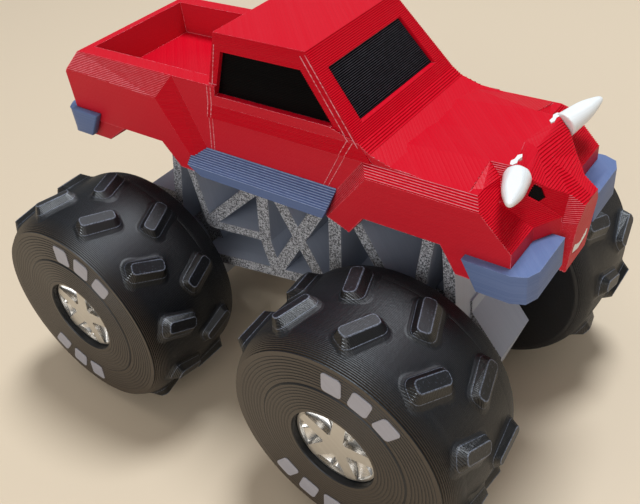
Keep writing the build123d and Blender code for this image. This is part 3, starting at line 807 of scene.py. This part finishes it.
def build_turned_copies():
    """Adds copies of one piece, turned about Y from a start by equal steps."""
    tree, given, out = group("turned copies", "GeometryNodeTree", [
        ("Geometry", GEOMETRY, None), ("Piece", OBJECT, None), ("Count", WHOLE, 10), ("Start", FLOAT, 0.0),
        ("Step", FLOAT, 0.6), ("Material", MATERIAL, None)], [("Geometry", GEOMETRY)])
    spots = add(tree, "GeometryNodePoints", {"Count": given["Count"], "Position": (0, 0, 0)}).outputs[0]
    piece = add(tree, "GeometryNodeObjectInfo", {"Object": given["Piece"]}).outputs["Geometry"]
    index = add(tree, "GeometryNodeInputIndex").outputs[0]
    turn = calc(tree, "MULTIPLY_ADD", index, given["Step"], given["Start"])
    rotation = add(tree, "ShaderNodeCombineXYZ", {1: turn}).outputs[0]
    copies = add(tree, "GeometryNodeInstanceOnPoints",
                 {"Points": spots, "Instance": piece, "Rotation": rotation})
    real = add(tree, "GeometryNodeRealizeInstances", {"Geometry": copies.outputs[0]})
    made = add(tree, "GeometryNodeSetMaterial", {"Geometry": real.outputs[0], "Material": given["Material"]})
    both = add(tree, "GeometryNodeJoinGeometry")
    tree.links.new(made.outputs[0], both.inputs[0])
    tree.links.new(given["Geometry"], both.inputs[0])
    tree.links.new(both.outputs[0], out["Geometry"])
    return tree


TURNED_PROFILE = build_turned_profile()
TURNED_COPIES = build_turned_copies()


def run_tree(obj, tree, **values):
    """Puts a Geometry Nodes modifier on the object, with its inputs set by their identifiers."""
    modifier = obj.modifiers.new(tree.name, "NODES")
    modifier.node_group = tree
    sockets = {item.name: item.identifier for item in tree.interface.items_tree
               if item.item_type == "SOCKET" and item.in_out == "INPUT"}
    for name, value in values.items():
        modifier[sockets[name]] = value


# Wheels

def wheel_placed(obj, end, side, sign):
    """Moves a piece from its own middle, with its depth along Y, to a wheel; left wheels are mirrored."""
    low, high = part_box(f"tyre_{end}_{side}")
    middle = wheel_middle(end)
    face = low.y if sign < 0 else high.y
    scale = Matrix.Diagonal((1, -sign, 1, 1))
    obj.data.transform(Matrix.Translation((middle.x, face, middle.z)) @ scale)
    return edited(obj, outward)


def tyre_width(end, side):
    low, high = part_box(f"tyre_{end}_{side}")
    return (high.y - low.y) / MM


def carcass_radius(depth, width):
    """Radius of the carcass at a depth from the outer sidewall."""
    near = min(depth, width - depth)
    if near < SHOULDER:
        run = near / SHOULDER
        full = (1 - (1 - run) ** 2) ** SHOULDER_POWER
        return SIDEWALL_RADIUS + (SHOULDER_RADIUS - SIDEWALL_RADIUS) * full
    middle = width / 2
    across = (middle - near) / (middle - SHOULDER)
    return TREAD_RADIUS - (TREAD_RADIUS - SHOULDER_RADIUS) * across ** 2


def sidewall_rings(first, last, depth):
    """Printed rings on a sidewall from one radius to another, each with a groove beside it."""
    count = int((last - first) / BEAD)
    points = []
    for k in range(count):
        radius = first + (k + 0.5) * (last - first) / count
        points += [(radius + RING_CREST[0], depth), (radius + RING_CREST[1], depth),
                   (radius + RING_GROOVE, depth + GROOVE)]
    return points


def carcass_profile(width):
    """Closed profile of a tyre without lugs: a ringed sidewall, and a tread stepped layer by layer."""
    points = [*BORE_EDGE, *sidewall_rings(*INNER_BAND), *STEP_EDGE, *sidewall_rings(*OUTER_BAND)]
    for k in range(1, round(width / LAYER)):
        radius = carcass_radius((k + 0.5) * LAYER, width)
        top = k * LAYER
        if k == 1:
            points.append((radius, STEP_DEPTH))
        points += [(radius, top + GROOVE_EASE), (radius, top + LAYER - GROOVE_EASE),
                   (radius - GROOVE * 0.5, top + LAYER)]
    points[-1:] = [(radius, width - short) for radius, short in BACK_EDGE]
    return points + [points[0]]


def lug_piece(name, width, depth, turn):
    """One lug: a broad flat top, smooth flanks between two fine lips, and a foot that runs into the tread."""
    rotate = Matrix.Rotation(radians(turn), 3, "X")
    rings = []
    for share, length, wide, corner, _ in LUG_RINGS:
        ring = []
        for a, b in rounded_outline(length, wide, corner):
            point = rotate @ Vector((0, a, b + LUG_LEAN * max(share, 0))) + Vector((0, depth, 0))
            point.y = max(point.y, LUG_MARGIN)
            foot = (carcass_radius(point.y, width) ** 2 - point.z ** 2) ** 0.5 - LUG_SINK
            point.x = foot + share * (LUG_TOP_RADIUS - foot if share > 0 else 1.0)
            ring.append(point * MM)
        rings.append(ring)
    return stacked(lofted(name, rings, [row[-1] for row in LUG_RINGS]), 1, 0.0, hard=0.3)


def tyre(end, side, sign):
    """A tyre: its turned carcass and two rows of lugs."""
    width = tyre_width(end, side)
    profile = carcass_profile(width)
    row = from_points("profile row", [(r * MM, d * MM, 0) for r, d in profile], [])
    outer = lug_piece("outer lug", width, *OUTER_LUG)
    inner = lug_piece("inner lug", width, *INNER_LUG)
    obj = from_points(f"tyre_{end}_{side}_tread", [], [])
    run_tree(obj, TURNED_PROFILE, Profile=row, Points=len(profile), Around=AROUND, Material=RUBBER)
    pitch = 2 * pi / LUG_COUNT
    start = -radians(PHASES[end])
    for piece, first in ((outer, start), (inner, start + pitch / 2)):
        run_tree(obj, TURNED_COPIES, Piece=piece, Count=LUG_COUNT, Start=first, Step=pitch, Material=RUBBER)
    obj = evaluated(obj)
    for spare in (row, outer, inner):
        bpy.data.objects.remove(spare)
    return wheel_placed(obj, end, side, sign)


def mark_block(name):
    """One plain raised block, which stands out of a sidewall."""
    rings = []
    for depth, grow in MARK_RINGS:
        outline = rounded_outline(MARK_SIZE[0] + grow, MARK_SIZE[1] + grow, MARK_CORNER + grow / 2)
        rings.append([((MARK_RADIUS + a) * MM, depth * MM, b * MM) for a, b in outline])
    return lofted(name, rings)


def marks(end, side, sign):
    """Two rows of plain raised blocks on a tyre's outer sidewall."""
    block = mark_block("mark block")
    obj = from_points(f"marks_{end}_{side}", [], [])
    for start in MARK_STARTS:
        run_tree(obj, TURNED_COPIES, Piece=block, Count=MARK_COUNT, Start=radians(start),
                 Step=radians(MARK_PITCH), Material=MARK_GREY)
    obj = evaluated(obj)
    bpy.data.objects.remove(block)
    return wheel_placed(obj, end, side, sign)


def pocket_depth(radius, share):
    """Depth of the bowl between two arms, with a thin rib standing up along its middle."""
    out = (radius - HUB_RADIUS) / (POCKET_RADIUS - HUB_RADIUS)
    bowl = sin(pi * share) ** BOWL_ROUND * sin(pi * (BOWL_START + BOWL_SPAN * out)) ** BOWL_LONG
    rib = RIB_HEIGHT * max(0.0, 1 - abs(share - 0.5) / RIB_HALF)
    return RIM_RECESS + POCKET_DEPTH * bowl - rib * min(1.0, bowl)


def rim_columns(radius):
    """Angles round the rim with their kind: arms keep their straight edges, pockets fill what is between."""
    pitch = 2 * pi / STAR_ARMS
    share = (radius - HUB_RADIUS) / (POCKET_RADIUS - HUB_RADIUS)
    half_width = ARM_HALVES[0] + (ARM_HALVES[1] - ARM_HALVES[0]) * max(0.0, min(1.0, share))
    half = min(pitch * ARM_REACH, atan2(half_width, radius))
    gap = pitch - 2 * half
    columns = []
    for arm in range(STAR_ARMS):
        start = radians(STAR_TURN) + arm * pitch
        columns += [(start - half + 2 * half * i / ARM_CELLS, None) for i in range(ARM_CELLS + 1)]
        columns += [(start + half + gap * i / POCKET_CELLS, i / POCKET_CELLS)
                    for i in range(POCKET_CELLS + 1)]
    return columns


def rim(end, side, sign):
    """A rim as a turned tube: a ring has one depth on the arms, and one or the bowl's in the pockets."""
    width = tyre_width(end, side)
    rings = [(radius, STAR_RECESS, STAR_RECESS) for radius in (CENTRE_RADIUS, HUB_FLAT, HUB_RADIUS)]
    rings.append((HUB_RADIUS + HUB_EDGE, STAR_RECESS, None))
    for i in range(1, BOWL_RINGS + 1):
        rings.append((HUB_RADIUS + (POCKET_RADIUS - HUB_RADIUS) * i / BOWL_RINGS, STAR_RECESS, None))
    for radius, depth in ((POCKET_RADIUS + POCKET_EDGE, RIM_RECESS), (RIM_RADIUS - RIM_LIP, RIM_RECESS),
                          (RIM_RADIUS, RIM_RECESS + RIM_LIP), (RIM_RADIUS, width), (AXLE_BORE, width),
                          (AXLE_BORE, AXLE_BORE_DEPTH), (CENTRE_RADIUS, AXLE_BORE_DEPTH)):
        rings.append((radius, depth, depth))
    points = []
    for radius, arm_depth, pocket_level in rings:
        columns = rim_columns(min(max(radius, HUB_RADIUS), POCKET_RADIUS))
        for turn, share in columns:
            depth = arm_depth if share is None else pocket_level
            if depth is None:
                depth = pocket_depth(radius, share)
            points.append((radius * cos(turn) * MM, depth * MM, radius * sin(turn) * MM))
    obj = from_points(f"rim_{end}_{side}_star", points, tube_faces(len(columns), len(rings)))
    return smooth_shaded(wheel_placed(obj, end, side, sign), angle=42)


brow_sliver("brow_sliver_right", -1, 5.7)
brow_sliver("brow_sliver_left", 1, 6.7)
wall_lines()
for end in ENDS:
    for side, sign in SIDES:
        body = f"wheel_{end}_{side}"
        kept(tyre(end, side, sign), body, [f"tyre_{end}_{side}"])
        kept(marks(end, side, sign), body)
        kept(painted(rim(end, side, sign), BRIGHT), body, [f"rim_{end}_{side}"])


# Camera, floor and light

LENS, SENSOR = 44.0, 36.0                       # mm
NEAREST = 0.01                                  # m, nothing nearer is seen
CAMERA_PLACE = (40.114, -71.887, 77.016)        # mm from the front axle's middle
CAMERA_TURNS = (51.62, 5.899, 36.14)            # degrees
FLOOR_HALF = 2                                  # m

camera_data = bpy.data.cameras.new("camera")
camera_data.lens = LENS
camera_data.sensor_width = SENSOR
camera_data.clip_start = NEAREST
camera = new_object("camera", camera_data)
camera.location = front_point(*CAMERA_PLACE)
camera.rotation_euler = [radians(turn) for turn in CAMERA_TURNS]
bpy.context.scene.camera = camera

floor_corners = [(u * FLOOR_HALF, v * FLOOR_HALF, 0) for u, v in ((-1, -1), (1, -1), (1, 1), (-1, 1))]
floor_sheet = from_points("floor", floor_corners, [(0, 1, 2, 3)])
floor_material = bpy.data.materials.new("pale floor")
floor_material.use_nodes = True
floor_inputs = floor_material.node_tree.nodes["Principled BSDF"].inputs
floor_inputs["Base Color"].default_value = linear(217, 197, 170)
floor_inputs["Roughness"].default_value = 0.6
painted(floor_sheet, floor_material)


def soft_lamp(name, place, aim, size, power, colour=(1, 1, 1)):
    data = bpy.data.lights.new(name, "AREA")
    data.shape = "DISK"
    data.size = size
    data.energy = power
    data.color = colour
    lamp = new_object(name, data)
    lamp.location = place
    lamp.rotation_euler = (Vector(aim) - Vector(place)).to_track_quat("-Z", "Y").to_euler()


soft_lamp("overhead", (-0.2, -0.12, 0.62), (0, 0, 0.03), 0.3, 0.3, (1.0, 0.97, 0.93))
soft_lamp("window side", (0.02, 0.17, 0.68), (0.01, 0, 0.03), 0.22, 4.1, (0.86, 0.93, 1.0))
soft_lamp("room side", (0.2, -0.7, 0.35), (0, 0, 0.03), 0.6, 2.3)
world = bpy.data.worlds.new("studio")
world.use_nodes = True
background = world.node_tree.nodes["Background"].inputs
background["Color"].default_value = (0.95, 0.97, 1.0, 1)
background["Strength"].default_value = 0.27
bpy.context.scene.world = world
bpy.context.scene.view_settings.view_transform = "Standard"
